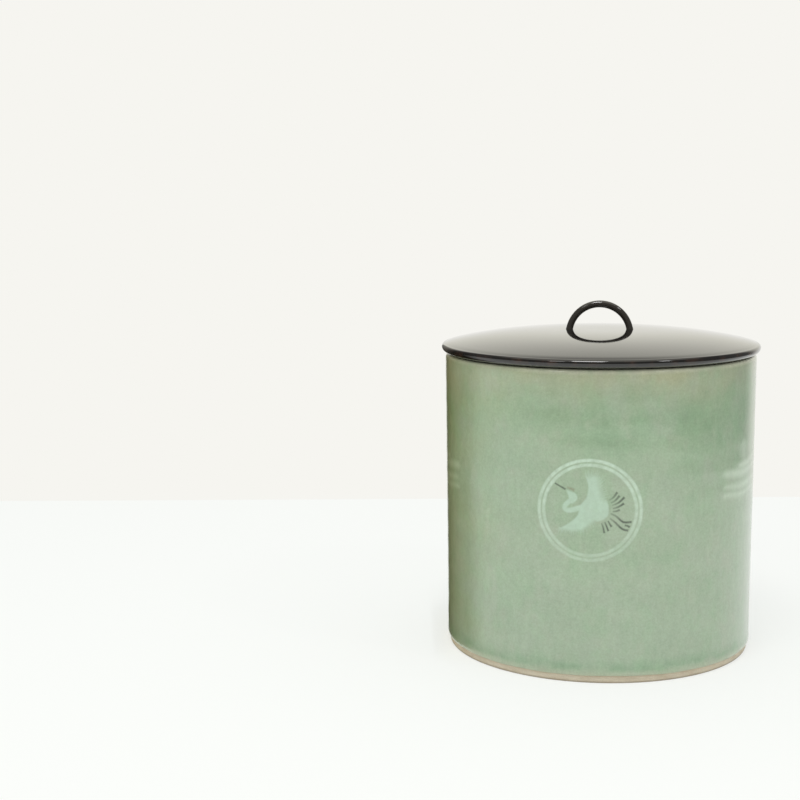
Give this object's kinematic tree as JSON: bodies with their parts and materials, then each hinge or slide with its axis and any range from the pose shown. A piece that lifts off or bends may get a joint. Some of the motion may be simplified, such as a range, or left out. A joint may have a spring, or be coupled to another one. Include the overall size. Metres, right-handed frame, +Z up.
{
  "type": "lidded water jar",
  "caption": "Cylindrical celadon water jar with an inlaid crane roundel, a bare clay foot, and a low domed lacquer lid with a loop handle that lifts off.",
  "frame": {"origin": "centre of the plane that the foot ring rests on", "axes": "+Z up, -Y towards the front with the crane roundel, +X to the viewer's right"},
  "size_m": [0.17, 0.17, 0.1863],
  "materials": {
    "clay": "bare fired stoneware, matt",
    "celadon": "soft grey-green celadon glaze, satin gloss",
    "white_slip": "white slip under the celadon glaze",
    "dark_slip": "iron-black slip under the celadon glaze",
    "rust_slip": "rust-brown slip under the celadon glaze",
    "lacquer": "black lacquer on turned wood, polished gloss"
  },
  "bodies": {
    "jar": {"jar_body": "clay", "celadon_glaze": "celadon", "roundel_outer_ring": "white_slip", "roundel_inner_ring": "white_slip", "crane_white_slip": "white_slip", "crane_bill": "dark_slip", "crane_crest": "rust_slip", "crane_tail": "dark_slip", "crane_legs": "dark_slip", "crane_wing_strokes": "dark_slip", "cloud_left": "white_slip", "cloud_right": "white_slip"},
    "lid": {"lid_board": "lacquer", "lid_handle": "lacquer"}
  },
  "joints": [
    {"name": "lid_lift", "type": "slide", "parent": "jar", "child": "lid", "axis": [0, 0, 1], "range_m": [0, 0.12]}
  ]
}
